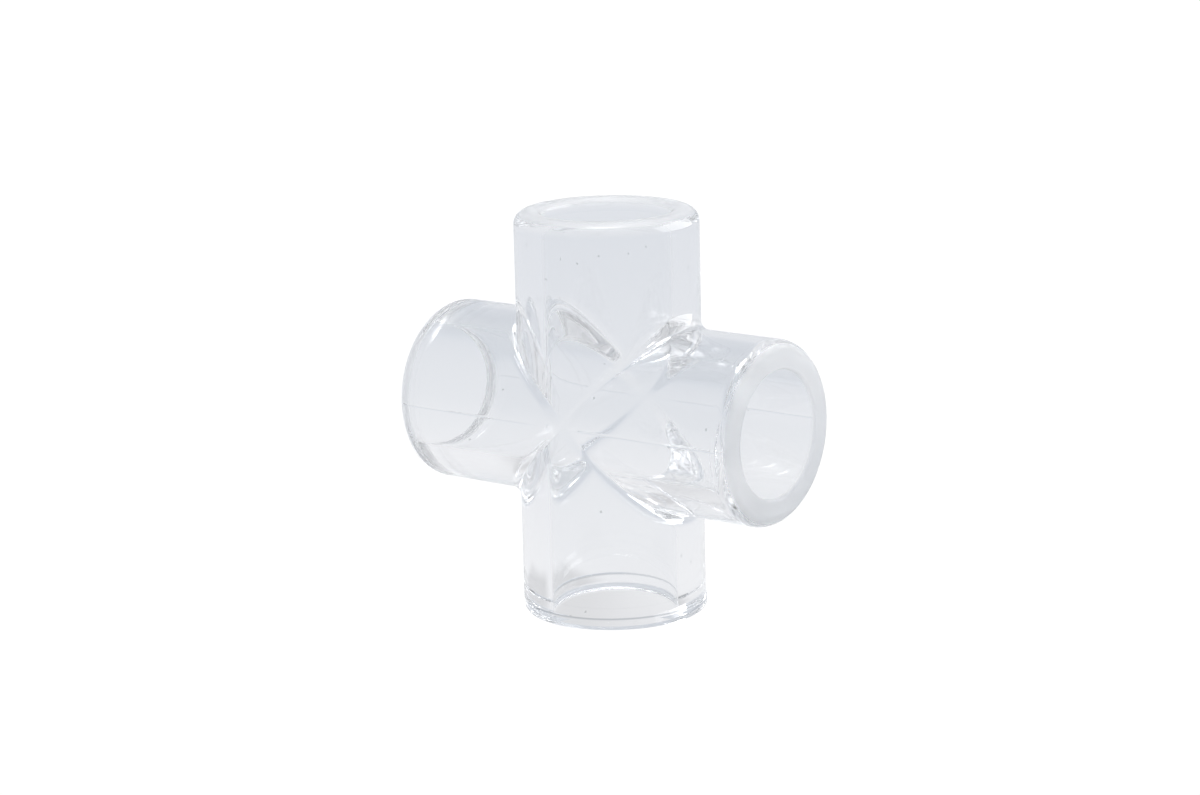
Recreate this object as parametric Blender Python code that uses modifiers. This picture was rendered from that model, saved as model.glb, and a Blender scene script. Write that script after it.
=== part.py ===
"""Clear four-way pipe cross with plain sockets, for half-inch rigid plastic pipe.

Four sockets lie in the XZ plane and open into one crossing bore. The real fitting is a single
moulding. Here it is a hub and four turned sockets that meet face to face on flat planes.
Metres, +Z up. The origin is the point where the two runs cross.
"""

from math import cos, pi, radians, sin

import bmesh
import bpy
from mathutils import Matrix, Vector

# Driving sizes, in metres.
BORE_DIAMETER = 0.0214      # takes a 21.3 mm pipe
WALL = 0.00485              # wall of the hub and of every socket
RUN_X = 0.0685              # face to face, left socket to right socket
RUN_Z = 0.0685              # face to face, bottom socket to top socket
CROTCH_RADIUS = 0.0030      # fillet where two arms meet outside
HUB_MARGIN = 0.0006         # straight tube between a crotch fillet and a socket
RIM_RADIUS = 0.0022         # rounded outer edge of the top, left and right ends
FOOT_RIM_RADIUS = 0.0010    # the bottom end's outer edge, which is crisper
MOUTH_RADIUS = 0.0004       # broken inner edge of a socket's end

# How finely round shapes are divided.
SIDES = 48                  # round a tube, a multiple of 8
FILLET_STEPS = 3            # from a crotch's middle line out to one arm
RIM_STEPS = 4
MOUTH_STEPS = 2

COLOUR = (0.86, 0.89, 0.92, 1.0)
ROUGHNESS = 0.04
INDEX_OF_REFRACTION = 1.53

BORE_RADIUS = BORE_DIAMETER / 2
OUTER_RADIUS = BORE_RADIUS + WALL
HUB_HALF = OUTER_RADIUS + CROTCH_RADIUS + HUB_MARGIN
LARGEST_RIM = 0.6 * WALL    # leaves a flat ring on the end, whatever the wall
LARGEST_MOUTH = 0.2 * WALL

# Each arm: its direction as a turn about Y from +Z, its length from the centre, and its rim.
ARMS = {
    "socket_top": (0, RUN_Z / 2, RIM_RADIUS),
    "socket_right": (90, RUN_X / 2, RIM_RADIUS),
    "socket_bottom": (180, RUN_Z / 2, FOOT_RIM_RADIUS),
    "socket_left": (270, RUN_X / 2, RIM_RADIUS),
}


def clear_scene():
    """Remove whatever the file starts with."""
    for thing in list(bpy.data.objects):
        bpy.data.objects.remove(thing, do_unlink=True)


def clear_plastic(name):
    """Transparent rigid plastic."""
    material = bpy.data.materials.new(name)
    material.use_nodes = True
    shader = material.node_tree.nodes["Principled BSDF"]
    shader.inputs["Base Color"].default_value = COLOUR
    shader.inputs["Metallic"].default_value = 0.0
    shader.inputs["Roughness"].default_value = ROUGHNESS
    shader.inputs["IOR"].default_value = INDEX_OF_REFRACTION
    shader.inputs["Transmission Weight"].default_value = 1.0
    return material


def add_object(name, mesh, collection):
    """Put a mesh in the scene as a named piece with its own material."""
    piece = bpy.data.objects.new(name, mesh)
    mesh.materials.append(clear_plastic(name))
    collection.objects.link(piece)
    return piece


def shade(mesh):
    """Smooth round faces, and keep the flat ends crisp."""
    mesh.shade_smooth()
    mesh.set_sharp_from_angle(angle=radians(40))


def around(radius, angle, height):
    """A point round the Z axis. Angle 0 is +Y, the direction square to the cross's plane."""
    return Vector((radius * sin(angle), radius * cos(angle), height))


def turn_about_y(degrees):
    """The rotation that carries the +Z arm onto another arm."""
    return Matrix.Rotation(radians(degrees), 4, "Y")


def arm_section(angle):
    """Points of the +Z arm's wall at one angle, from the inner mitre out to the outer mitre.

    Inside, the wall starts where the two bores cross. Outside, it ends halfway round the
    fillet that a ball of CROTCH_RADIUS leaves as it rolls along both tubes.
    """
    side = sin(angle)
    points = [
        around(BORE_RADIUS, angle, BORE_RADIUS * abs(side)),
        around(BORE_RADIUS, angle, HUB_HALF),
        around(OUTER_RADIUS, angle, HUB_HALF),
    ]
    reach = OUTER_RADIUS + CROTCH_RADIUS
    ball = around(reach, angle, reach * abs(side))
    to_arm = Vector((-side, -cos(angle), 0.0))
    to_middle = Vector((-side, -2 * cos(angle), -abs(side))).normalized()
    opening = to_arm.angle(to_middle)
    for step in range(FILLET_STEPS + 1):
        if opening < 1e-6:
            direction = to_arm
        else:
            direction = to_arm.slerp(to_middle, step / FILLET_STEPS)
        points.append(ball + CROTCH_RADIUS * direction)
    return points


def build_hub(collection):
    """The crossing: four equal arms, mitred together, as one closed shell with its bores."""
    shell = bmesh.new()
    sections = [arm_section(2 * pi * side / SIDES) for side in range(SIDES)]
    for degrees, _, _ in ARMS.values():
        turn = turn_about_y(degrees)
        rows = [[shell.verts.new(turn @ point) for point in section] for section in sections]
        for side, row in enumerate(rows):
            after = rows[(side + 1) % SIDES]
            for k in range(len(row) - 1):
                shell.faces.new((row[k], row[k + 1], after[k + 1], after[k]))
    bmesh.ops.remove_doubles(shell, verts=shell.verts, dist=1e-6)
    bmesh.ops.recalc_face_normals(shell, faces=shell.faces)
    mesh = bpy.data.meshes.new("hub")
    shell.to_mesh(mesh)
    shell.free()
    shade(mesh)
    return add_object("hub", mesh, collection)


def corner(centre_radius, centre_height, radius, start, end, steps):
    """Points of a quarter-round corner of a turned profile, as (radius, height)."""
    angles = [radians(start + (end - start) * k / steps) for k in range(steps + 1)]
    return [(centre_radius + radius * cos(a), centre_height + radius * sin(a)) for a in angles]


def socket_profile(length, rim_radius):
    """Outline of a socket's wall at +X, down its outer side and up its bore."""
    rim = min(rim_radius, LARGEST_RIM)
    mouth = min(MOUTH_RADIUS, LARGEST_MOUTH)
    outline = corner(OUTER_RADIUS - rim, length - rim, rim, 90, 0, RIM_STEPS)
    outline += [(OUTER_RADIUS, HUB_HALF), (BORE_RADIUS, HUB_HALF)]
    outline += corner(BORE_RADIUS + mouth, length - mouth, mouth, 180, 90, MOUTH_STEPS)
    return outline


def build_socket(name, degrees, length, rim_radius, collection):
    """A turned socket from the hub's flat face out to its open end."""
    outline = socket_profile(length, rim_radius)
    mesh = bpy.data.meshes.new(name)
    edges = [(k, (k + 1) % len(outline)) for k in range(len(outline))]
    mesh.from_pydata([(radius, 0.0, height) for radius, height in outline], edges, [])
    socket = add_object(name, mesh, collection)
    socket.rotation_euler = (0.0, radians(degrees), 0.0)
    turned = socket.modifiers.new("Turned", "SCREW")
    turned.axis = "Z"
    turned.angle = 2 * pi
    turned.steps = SIDES
    turned.render_steps = SIDES
    turned.use_merge_vertices = True
    turned.merge_threshold = 1e-5
    turned.use_smooth_shade = True
    return socket


def main():
    clear_scene()
    parts = bpy.data.collections.new("cross_fitting")
    bpy.context.scene.collection.children.link(parts)
    centre = bpy.data.objects.new("crossing_point", None)
    parts.objects.link(centre)
    build_hub(parts).parent = centre
    for name, (degrees, length, rim_radius) in ARMS.items():
        build_socket(name, degrees, length, rim_radius, parts).parent = centre


main()
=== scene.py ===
"""Looks of the clear pipe cross: one continuous moulding in water-clear rigid plastic."""

from math import cos, hypot, pi, radians, sin

import bmesh
import bpy
import numpy as np
from mathutils import Matrix, Vector


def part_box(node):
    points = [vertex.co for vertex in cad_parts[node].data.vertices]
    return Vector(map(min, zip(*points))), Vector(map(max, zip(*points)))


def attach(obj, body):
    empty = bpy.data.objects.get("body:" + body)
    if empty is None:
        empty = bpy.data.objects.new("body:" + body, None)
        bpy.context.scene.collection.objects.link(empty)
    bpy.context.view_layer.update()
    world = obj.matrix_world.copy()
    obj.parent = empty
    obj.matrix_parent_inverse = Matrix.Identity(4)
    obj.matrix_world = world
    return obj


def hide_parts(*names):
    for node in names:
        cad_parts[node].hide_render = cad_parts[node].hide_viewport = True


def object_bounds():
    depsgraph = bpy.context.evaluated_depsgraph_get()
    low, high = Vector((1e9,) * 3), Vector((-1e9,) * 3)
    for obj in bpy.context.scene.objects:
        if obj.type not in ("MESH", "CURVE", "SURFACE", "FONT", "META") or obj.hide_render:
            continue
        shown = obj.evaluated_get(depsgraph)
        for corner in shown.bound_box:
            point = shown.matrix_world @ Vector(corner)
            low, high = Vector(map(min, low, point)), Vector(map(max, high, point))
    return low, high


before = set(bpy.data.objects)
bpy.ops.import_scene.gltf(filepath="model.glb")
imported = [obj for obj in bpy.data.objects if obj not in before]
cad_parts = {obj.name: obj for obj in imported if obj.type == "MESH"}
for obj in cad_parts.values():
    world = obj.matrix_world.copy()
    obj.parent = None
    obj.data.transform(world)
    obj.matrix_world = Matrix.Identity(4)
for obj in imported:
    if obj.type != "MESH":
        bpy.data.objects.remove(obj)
CAD_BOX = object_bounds()

MM = 0.001

# ---------------------------------------------------------------- sizes read from the frame

ARM_NODES = {"socket_top": 0, "socket_right": 90, "socket_bottom": 180, "socket_left": 270}
TOP_LOW, TOP_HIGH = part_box("socket_top")
TOP_POINTS = [v.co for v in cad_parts["socket_top"].data.vertices]
OUTER = TOP_HIGH.y                       # outside radius of every arm
BORE = min(hypot(p.x, p.y) for p in TOP_POINTS)
HUB_HALF = TOP_LOW.z                     # where a socket starts, from the centre
LENGTH = {
    "socket_top": TOP_HIGH.z,
    "socket_right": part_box("socket_right")[1].x,
    "socket_bottom": -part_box("socket_bottom")[0].z,
    "socket_left": -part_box("socket_left")[0].x,
}

# ---------------------------------------------------------------- fine sizes of the moulding

RIDGE = 0.07 * MM                        # height of the mould's parting line
SKIN = OUTER - RIDGE                     # outside radius under that line
CROTCH = 2.9 * MM                        # outer fillet between two arms
BORE_CORNER = 1.2 * MM                   # broken edge where the two bores meet
# Broken inner edge of each mouth: rounded on three, and on the foot a lead-in (wide, high).
MOUTH = {"socket_top": 1.2 * MM, "socket_right": 0.5 * MM, "socket_left": 0.5 * MM}
FOOT_CHAMFER = (0.45 * MM, 1.1 * MM)
# Each end's rounded outer edge, and the mould ring's line behind it: how far back from the
# end, how deep and how wide.
PLAIN_END = {"rim": 2.2 * MM, "back": 2.75 * MM, "depth": 0.015 * MM, "width": 0.24 * MM}
FOOT_END = {"rim": 1.0 * MM, "back": 2.1 * MM, "depth": 0.10 * MM, "width": 0.45 * MM}
FOOT_SHIFT = 0.22 * MM                   # the bottom band sits this far towards +X
# Two pips left by the gate, on the front of the hub beside the parting line.
GATE_MARKS = (Vector((-1.5 * MM, -SKIN, 0.45 * MM)), Vector((-1.5 * MM, -SKIN, -0.27 * MM)))
GATE_RADIUS, GATE_HEIGHT = 0.40 * MM, 0.068 * MM

# How finely the mesh is divided.
SIDES = 224                              # round an arm, a multiple of 8
BORE_CORNER_STEPS, CROTCH_STEPS = 8, 14
MOUTH_STEPS, RIM_STEPS = 8, 12
GATE_PATCH, GATE_CUTS = 1.1 * MM, 7      # how far the pips' finer mesh reaches, and its cuts
SUPPORT = 0.08 * MM                      # narrow row beside a curved edge, for true normals
# Rows beside the parting line: distance from it, and height there as a share of RIDGE.
PARTING_ROWS = ((0.0, 1.0), (0.05 * MM, 0.8), (0.12 * MM, 0.15), (0.22 * MM, 0.0))
# Where the parting line rises out of the crotch, as shares of the way to TUBE_END.
PARTING_START, PARTING_FULL = 0.18, 0.28
TUBE_END = HUB_HALF + 2 * MM
# Rows across the ring's line: place as a share of its width, and depth as a share.
RING_ROWS = ((0.8, 0), (0.5, 0), (0.2, 1), (-0.2, 1), (-0.5, 0), (-0.8, 0))


def arm_angles():
    """Angles round an arm from +Y, each with the share of RIDGE that it carries."""
    shares = {2 * pi * k / SIDES: 0.0 for k in range(SIDES)}
    for offset, share in PARTING_ROWS:
        turn = offset / OUTER
        for angle in (turn, 2 * pi - turn, pi - turn, pi + turn):
            shares[angle % (2 * pi)] = share
    return sorted(shares.items())


def corner_arc(radius, ball_radius, angle, steps):
    """Points from the mitre out to the arm, where a ball rolls along two crossing tubes.

    Each is (across, over, along): across the cross's plane, over it (Y), and along the arm.
    """
    side, over = abs(sin(angle)), cos(angle)
    reach = radius + ball_radius
    ball = np.array([reach * side, reach * over, reach * side])
    to_arm = np.array([-side, -over, 0.0])
    to_middle = np.array([-side, -2 * over, -side])
    to_middle /= np.linalg.norm(to_middle)
    opening = np.arccos(np.clip(to_arm @ to_middle, -1.0, 1.0))
    points = []
    for step in range(steps, -1, -1):
        share = step / steps
        if opening < 1e-7:
            direction = to_arm
        else:
            direction = sin((1 - share) * opening) * to_arm + sin(share * opening) * to_middle
            direction = direction / sin(opening)
        points.append(ball + ball_radius * direction)
    return points


def mouth_profile(name):
    """The bore's broken edge at a socket's end, as (radius, height)."""
    length = LENGTH[name]
    if name == "socket_bottom":
        wide, high = FOOT_CHAMFER
        lead = SUPPORT / high
        shares = (0.0, lead, 1.0 - lead, 1.0)
        points = [(BORE + share * wide, length - high + share * high) for share in shares]
    else:
        wide = high = MOUTH[name]
        angles = [pi - k * pi / (2 * MOUTH_STEPS) for k in range(MOUTH_STEPS + 1)]
        points = [(BORE + wide + wide * cos(a), length - high + high * sin(a)) for a in angles]
    return [(BORE, length - high - SUPPORT)] + points + [(BORE + wide + SUPPORT, length)]


def rim_profile(name, skin):
    """The rounded outer edge and the mould ring's line behind it, as (radius, height)."""
    length, end = LENGTH[name], FOOT_END if name == "socket_bottom" else PLAIN_END
    rim = end["rim"]
    points = [(skin - rim - SUPPORT, length)]
    for k in range(RIM_STEPS + 1):
        a = pi / 2 - k * pi / (2 * RIM_STEPS)
        points.append((skin - rim + rim * cos(a), length - rim + rim * sin(a)))
    points.append((skin, length - rim - SUPPORT))
    ring = length - end["back"]
    for share, depth in RING_ROWS:
        points.append((skin - depth * end["depth"], ring + share * end["width"]))
    return points


def arm_section(name, angle, ridge):
    """Points of an arm's wall at one angle: inner mitre, bore, end, skin, outer mitre."""
    side, over = sin(angle), cos(angle)
    sign = 1.0 if side >= 0 else -1.0
    shift = -FOOT_SHIFT if name == "socket_bottom" else 0.0
    skin = SKIN + ridge
    bore = corner_arc(BORE, BORE_CORNER, angle, BORE_CORNER_STEPS)
    section = [(sign * x, y, z) for x, y, z in bore]
    section.append((BORE * side, BORE * over, section[-1][2] + SUPPORT))
    section += [(r * side, r * over, z) for r, z in mouth_profile(name)]
    rim = rim_profile(name, skin)
    section += [(r * side + shift, r * over, z) for r, z in rim[:-2]]
    section += [(r * side, r * over, z) for r, z in rim[-2:]]
    outer = [(sign * x, y, z) for x, y, z in corner_arc(SKIN, CROTCH, angle, CROTCH_STEPS)]
    start = outer[-1][2]
    for share, radius in ((1.0, skin), (PARTING_FULL, skin), (PARTING_START, SKIN)):
        section.append((radius * side, radius * over, start + share * (TUBE_END - start)))
    section.append((SKIN * side, SKIN * over, start + SUPPORT))
    return section + outer[::-1]


def raise_gate_marks(shell):
    """The gate's two pips: small domes on a patch of finer mesh."""
    near = {face for face in shell.faces
            if any((face.calc_center_median() - mark).length < GATE_PATCH for mark in GATE_MARKS)}
    edges = [edge for edge in shell.edges if any(face in near for face in edge.link_faces)]
    bmesh.ops.subdivide_edges(shell, edges=edges, cuts=GATE_CUTS, use_grid_fill=True)
    for vert in shell.verts:
        for mark in GATE_MARKS:
            share = 1.0 - (vert.co - mark).length / GATE_RADIUS
            if share > 0.0:
                vert.co.y -= GATE_HEIGHT * share * share * (3.0 - 2.0 * share)


def build_moulding():
    """The whole cross as one closed mesh."""
    shell = bmesh.new()
    for name, degrees in ARM_NODES.items():
        turn = Matrix.Rotation(radians(degrees), 3, "Y")
        level = degrees in (90, 270)
        rows = []
        for angle, share in arm_angles():
            section = arm_section(name, angle, share * RIDGE if level else 0.0)
            rows.append([shell.verts.new(turn @ Vector(p)) for p in section])
        for row, after in zip(rows, rows[1:] + rows[:1]):
            for k in range(len(row) - 1):
                shell.faces.new((row[k], row[k + 1], after[k + 1], after[k]))
    bmesh.ops.remove_doubles(shell, verts=shell.verts, dist=1e-6)
    bmesh.ops.recalc_face_normals(shell, faces=shell.faces)
    raise_gate_marks(shell)
    mesh = bpy.data.meshes.new("cross_moulding")
    shell.to_mesh(mesh)
    shell.free()
    mesh.shade_smooth()
    piece = bpy.data.objects.new("cross_moulding", mesh)
    bpy.context.scene.collection.objects.link(piece)
    return piece


# ---------------------------------------------------------------- material

CLEAR_TINT = (0.965, 0.97, 0.975, 1.0)
SPECK_TINT = (0.55, 0.57, 0.57, 1.0)
GROOVE_TINT = (0.44, 0.47, 0.50, 1.0)    # darker line along the bottom band's groove
REFRACTION = 1.53
POLISHED, SATIN = 0.035, 0.68            # roughness of the skin and of the end faces
SATIN_FADE = (1.1 * MM, 0.1 * MM)        # the satin starts and is full this far from an end
MILKINESS = 0.12                         # share of light that a satin end scatters back
WAVE_SCALE, WAVE_HEIGHT = 210.0, 0.010 * MM
WAVE_HAZE = 0.03                         # how far the waves vary the skin's roughness
SPECK_SCALE, SPECK_RADIUS = 380.0, 0.09  # cells in a metre, and a speck's radius in cells
SPECK_PICK = 0.93                        # about the share of the cells that stay clear
RAGGED_SCALE, RAGGED_REACH = 2500.0, 0.5 * MM    # the noise that makes specks irregular
GROOVE_FADE = (0.06 * MM, 0.22 * MM)     # the darker line thins out this far from the groove's middle
GATE_RELIEF = 0.08 * MM                  # what the material adds to GATE_HEIGHT


class Nodes:
    """Small helper that adds and links shader nodes in one tree."""

    def __init__(self, tree):
        self.nodes, self.links = tree.nodes, tree.links

    def add(self, kind, inputs=None, **settings):
        node = self.nodes.new(kind)
        for key, value in settings.items():
            setattr(node, key, value)
        for key, value in (inputs or {}).items():
            if isinstance(value, bpy.types.NodeSocket):
                self.links.new(value, node.inputs[key])
            else:
                node.inputs[key].default_value = value
        return node

    def math(self, operation, *values):
        return self.add("ShaderNodeMath", dict(enumerate(values)), operation=operation).outputs[0]

    def vector(self, operation, first, second, output="Vector"):
        """One vector operation. The second value is a number where it scales the first."""
        inputs = {0: first, "Scale" if operation == "SCALE" else 1: second}
        return self.add("ShaderNodeVectorMath", inputs, operation=operation).outputs[output]

    def ramp(self, value, low, high, to_low=0.0, to_high=1.0):
        values = {"Value": value, "From Min": low, "From Max": high,
                  "To Min": to_low, "To Max": to_high}
        return self.add("ShaderNodeMapRange", values, interpolation_type="SMOOTHSTEP").outputs[0]

    def blend(self, share, first, second):
        """A colour between two."""
        inputs = {0: share, "A": first, "B": second}
        return self.add("ShaderNodeMix", inputs, data_type="RGBA").outputs["Result"]

    def tones(self, value, stops):
        """A colour ramp through (value, colour) stops, in rising order."""
        reach = stops[-1][0]
        ramp = self.add("ShaderNodeValToRGB", {0: self.math("DIVIDE", value, reach)})
        elements = ramp.color_ramp.elements
        while len(elements) < len(stops):
            elements.new(1.0)
        for element, (place, colour) in zip(elements, stops):
            element.position = place / reach
            element.color = (*colour, 1.0)
        return ramp.outputs[0]


def clear_plastic():
    """Clear rigid plastic: polished skin, satin ends, faint flow waves, specks and gate pips."""
    material = bpy.data.materials.new("clear_plastic")
    material.use_nodes = True
    net = Nodes(material.node_tree)
    shader = net.nodes["Principled BSDF"]
    shader.inputs["IOR"].default_value = REFRACTION
    place = net.add("ShaderNodeTexCoord").outputs["Object"]
    split = net.add("ShaderNodeSeparateXYZ", {0: place}).outputs

    # Satin on the end faces, which lie furthest along either run. The foot is polished.
    along = net.math("MAXIMUM", net.math("ABSOLUTE", split["X"]), net.math("ABSOLUTE", split["Z"]))
    satin = net.ramp(along, *[LENGTH["socket_top"] - back for back in SATIN_FADE])
    satin = net.math("MULTIPLY", satin, net.math("GREATER_THAN", split["Z"], -HUB_HALF))
    waves = {"Vector": place, "Scale": WAVE_SCALE, "Detail": 0.5}
    waves = net.add("ShaderNodeTexNoise", waves).outputs["Fac"]
    haze = net.math("MULTIPLY_ADD", waves, WAVE_HAZE, POLISHED - WAVE_HAZE / 2)
    rough = net.math("MAXIMUM", haze, net.math("MULTIPLY", satin, SATIN))
    net.links.new(rough, shader.inputs["Roughness"])
    clear = net.math("SUBTRACT", 1.0, net.math("MULTIPLY", satin, MILKINESS))
    net.links.new(clear, shader.inputs["Transmission Weight"])

    # Specks: one cell in a few holds a dark grain.
    ragged = {"Vector": place, "Scale": RAGGED_SCALE, "Detail": 1.0}
    ragged = net.add("ShaderNodeTexNoise", ragged).outputs["Color"]
    spot = net.vector("ADD", place, net.vector("SCALE", ragged, RAGGED_REACH))
    cells = net.add("ShaderNodeTexVoronoi", {"Vector": spot, "Scale": SPECK_SCALE}).outputs
    grain = net.math("LESS_THAN", cells["Distance"], SPECK_RADIUS)
    pick = net.add("ShaderNodeSeparateColor", {0: cells["Color"]}).outputs[0]
    speck = net.math("MULTIPLY", grain, net.math("GREATER_THAN", pick, SPECK_PICK))
    tint = net.blend(speck, CLEAR_TINT, SPECK_TINT)

    # A darker line along the bottom band's groove, on the outside only.
    flat = net.vector("MULTIPLY", place, (1.0, 1.0, 0.0))
    radius = net.add("ShaderNodeVectorMath", {0: flat}, operation="LENGTH").outputs["Value"]
    ring = FOOT_END["back"] - LENGTH["socket_bottom"]
    off = net.math("ABSOLUTE", net.math("SUBTRACT", split["Z"], ring))
    outside = net.math("GREATER_THAN", radius, (BORE + OUTER) / 2)
    groove = net.math("MULTIPLY", net.ramp(off, *GROOVE_FADE, 1.0, 0.0), outside)
    net.links.new(net.blend(groove, tint, GROOVE_TINT), shader.inputs["Base Color"])

    # Relief in metres: flow waves in the skin, and the gate pips' crisper tops.
    relief = net.math("MULTIPLY", waves, WAVE_HEIGHT)
    for mark in GATE_MARKS:
        away = net.vector("DISTANCE", place, mark, "Value")
        relief = net.math("ADD", relief, net.ramp(away, 0.0, GATE_RADIUS, GATE_RELIEF, 0.0))
    bump = net.add("ShaderNodeBump", {"Height": relief, "Strength": 1.0, "Distance": 1.0})
    net.links.new(bump.outputs["Normal"], shader.inputs["Normal"])
    return material


# ---------------------------------------------------------------- camera

AZIMUTH = radians(37.428)
ELEVATION = radians(13.208)
ROLL = radians(-1.357)
DISTANCE = 36.195 * OUTER
LENS, SENSOR = 100.3, 36.0
# How far the object's centre lies from the middle of the view, as slopes right and up.
CENTRE_RIGHT, CENTRE_UP = 0.00324, -0.00358


def add_camera():
    """The camera at the photo's angle, turned so that the object sits where it does there."""
    back = Vector((sin(AZIMUTH) * cos(ELEVATION), -cos(AZIMUTH) * cos(ELEVATION), sin(ELEVATION)))
    right = Vector((cos(AZIMUTH), sin(AZIMUTH), 0.0))
    up = back.cross(right)
    level = Matrix((right, up, back)).transposed()
    level = level @ Matrix.Rotation(ROLL, 3, "Z")
    ray = Vector((CENTRE_RIGHT, CENTRE_UP, -1.0)).normalized()
    aim = Vector((0.0, 0.0, -1.0)).rotation_difference(ray).to_matrix()
    camera = bpy.data.objects.new("camera", bpy.data.cameras.new("camera"))
    camera.data.lens = LENS
    camera.data.sensor_width = SENSOR
    camera.data.clip_start = 10 * MM
    camera.matrix_world = Matrix.Translation(DISTANCE * back) @ (level @ aim.transposed()).to_4x4()
    bpy.context.scene.collection.objects.link(camera)
    bpy.context.scene.camera = camera


# ---------------------------------------------------------------- floor, world and lights

FLOOR_HALF = 3.0
FLOOR_GAP = 0.1 * MM                     # air left under the bottom socket
# The pale sweep's glow, which the plastic shows, by distance from the object in metres: a painted
# pool of light, lightest round the object.
FLOOR_LIGHT_POOL = ((0.02, (0.90, 0.905, 0.925)), (0.12, (0.835, 0.85, 0.88)),
               (0.30, (0.785, 0.805, 0.845)), (0.70, (0.72, 0.75, 0.80)),
               (1.50, (0.68, 0.71, 0.76)))
# The room's tone by height: the share of straight up.
ROOM_TONES = ((0.0, (0.68, 0.71, 0.76)), (0.35, (0.65, 0.68, 0.73)), (0.70, (0.70, 0.73, 0.77)),
              (1.00, (0.85, 0.87, 0.90)))
BOUNCES = 24                             # light passes many walls of clear plastic
BURNT_OUT = 1.05                         # strength of the floor and the room in direct view
# Soft shade on the floor: how strong it is under the level arms, under the foot's ring and
# inside the foot.
ARM_SHADE, RING_SHADE, FOOT_SHADE = 0.23, 0.06, 0.19
ARM_SHADE_RISE = (10 * MM, 14 * MM)      # along an arm
ARM_SHADE_FALL = (28 * MM, 38 * MM)
ARM_SHADE_SIDE = (9 * MM, OUTER)         # across it
RING_FADE = 1 * MM                       # softness of the ring's edges
FOOT_SLANT = (0.8, 0.6, 0.0)             # the way the shade inside the foot fades
FOOT_SLANT_SPAN = (-9 * MM, 16 * MM)


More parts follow.
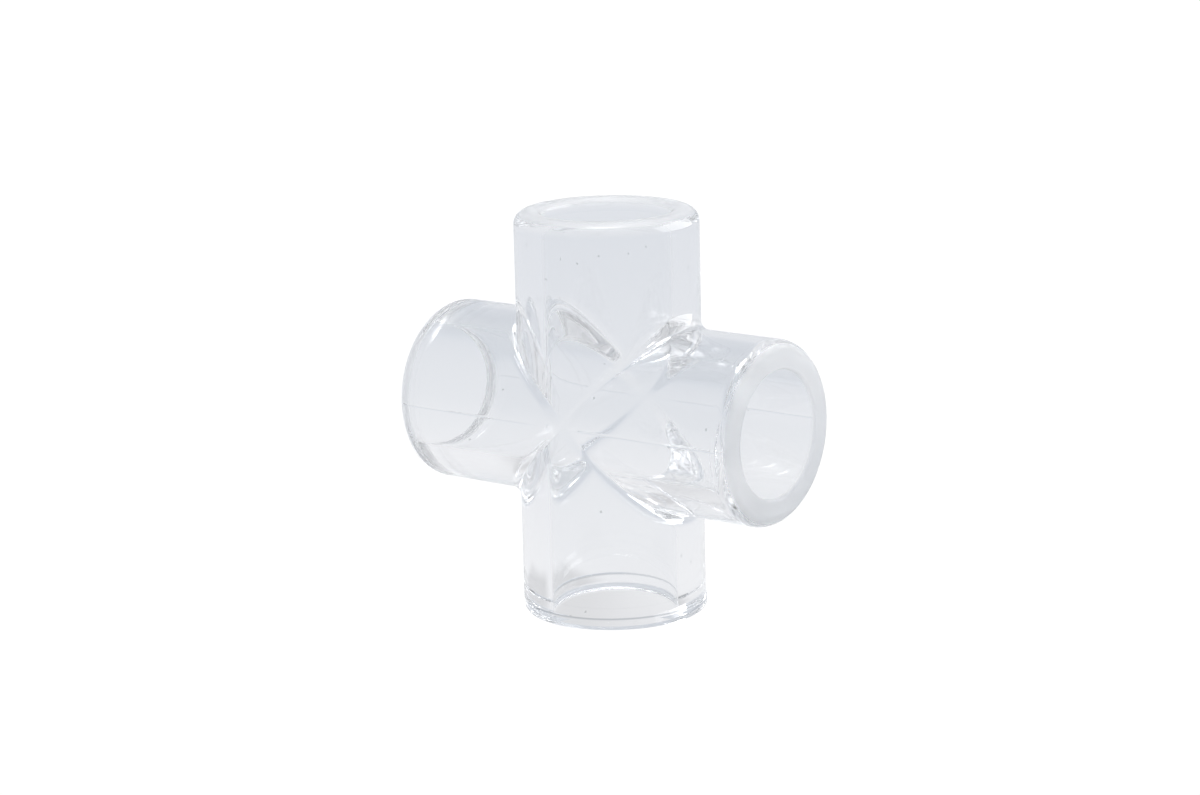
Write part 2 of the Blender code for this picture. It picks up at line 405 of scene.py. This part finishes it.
def add_floor():
    """A pale sweep glowing with a painted pool of light round the object and painted shade beneath
    it, which burns out to white in direct view.

    The mesh lies at its own zero height, so that distances in the material are level ones.
    """
    corners = [(-FLOOR_HALF, -FLOOR_HALF, 0), (FLOOR_HALF, -FLOOR_HALF, 0),
               (FLOOR_HALF, FLOOR_HALF, 0), (-FLOOR_HALF, FLOOR_HALF, 0)]
    mesh = bpy.data.meshes.new("floor")
    mesh.from_pydata(corners, [], [(0, 1, 2, 3)])
    floor = bpy.data.objects.new("floor", mesh)
    floor.location.z = CAD_BOX[0][2] - FLOOR_GAP
    bpy.context.scene.collection.objects.link(floor)
    material = bpy.data.materials.new("floor")
    material.use_nodes = True
    net = Nodes(material.node_tree)
    net.nodes.remove(net.nodes["Principled BSDF"])
    place = net.add("ShaderNodeTexCoord").outputs["Object"]
    away = net.add("ShaderNodeVectorMath", {0: place}, operation="LENGTH").outputs["Value"]
    split = net.add("ShaderNodeSeparateXYZ", {0: place}).outputs
    along, across = net.math("ABSOLUTE", split["X"]), net.math("ABSOLUTE", split["Y"])
    reach = net.math("MULTIPLY", net.ramp(along, *ARM_SHADE_RISE),
                     net.ramp(along, *ARM_SHADE_FALL, 1.0, 0.0))
    arms = net.math("MULTIPLY", net.ramp(across, *ARM_SHADE_SIDE, 1.0, 0.0), reach)
    inside = net.ramp(away, BORE - RING_FADE / 2, BORE + RING_FADE / 2, 1.0, 0.0)
    ring = net.math("SUBTRACT", net.ramp(away, OUTER, OUTER + RING_FADE, 1.0, 0.0), inside)
    slant = net.vector("DOT_PRODUCT", place, FOOT_SLANT, "Value")
    inside = net.math("MULTIPLY", inside, net.ramp(slant, *FOOT_SLANT_SPAN, 1.0, 0.0))
    light = net.math("SUBTRACT", 1.0, net.math("MULTIPLY", arms, ARM_SHADE))
    light = net.math("SUBTRACT", light, net.math("MULTIPLY", ring, RING_SHADE))
    light = net.math("SUBTRACT", light, net.math("MULTIPLY", inside, FOOT_SHADE))
    # The floor's glow: a painted pool of light round the object, less the painted shade.
    bent = net.add("ShaderNodeEmission", {"Color": net.tones(away, FLOOR_LIGHT_POOL), "Strength": light})
    direct = net.add("ShaderNodeEmission", {"Color": (1, 1, 1, 1), "Strength": BURNT_OUT})
    seen = net.add("ShaderNodeLightPath").outputs["Is Camera Ray"]
    mix = net.add("ShaderNodeMixShader", {0: seen, 1: bent.outputs[0], 2: direct.outputs[0]})
    net.links.new(mix.outputs[0], net.nodes["Material Output"].inputs["Surface"])
    mesh.materials.append(material)


def add_world():
    """A plain pale room, lightest overhead, which burns out to white in direct view."""
    world = bpy.data.worlds.new("studio")
    world.use_nodes = True
    net = Nodes(world.node_tree)
    where = net.add("ShaderNodeTexCoord").outputs["Generated"]
    height = net.add("ShaderNodeSeparateXYZ", {0: where}).outputs["Z"]
    room = net.nodes["Background"]
    net.links.new(net.tones(height, ROOM_TONES), room.inputs["Color"])
    direct = net.add("ShaderNodeBackground", {"Color": (1, 1, 1, 1), "Strength": BURNT_OUT})
    seen = net.add("ShaderNodeLightPath").outputs["Is Camera Ray"]
    mix = net.add("ShaderNodeMixShader", {0: seen, 1: room.outputs[0], 2: direct.outputs[0]})
    net.links.new(mix.outputs[0], net.nodes["World Output"].inputs["Surface"])
    bpy.context.scene.world = world


def add_softbox(name, place, size, power):
    """A soft rectangular light that faces the crossing, hidden from direct view."""
    light = bpy.data.objects.new(name, bpy.data.lights.new(name, "AREA"))
    light.data.shape = "RECTANGLE"
    light.data.size, light.data.size_y = size
    light.data.energy = power
    light.location = place
    light.visible_camera = False
    light.rotation_euler = (Vector() - Vector(place)).to_track_quat("-Z", "Y").to_euler()
    bpy.context.scene.collection.objects.link(light)


moulding = build_moulding()
moulding.data.materials.append(clear_plastic())
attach(moulding, "root")
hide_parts("hub", *ARM_NODES)

add_camera()
add_floor()
add_world()
add_softbox("overhead", (-0.05, 0.0, 0.75), (0.28, 0.28), 4.0)
add_softbox("side", (0.90, 1.00, 0.45), (1.6, 1.2), 14.0)

bpy.context.scene.view_settings.view_transform = "Standard"
bpy.context.scene.cycles.max_bounces = BOUNCES
bpy.context.scene.cycles.transmission_bounces = BOUNCES
bpy.context.scene.cycles.glossy_bounces = BOUNCES
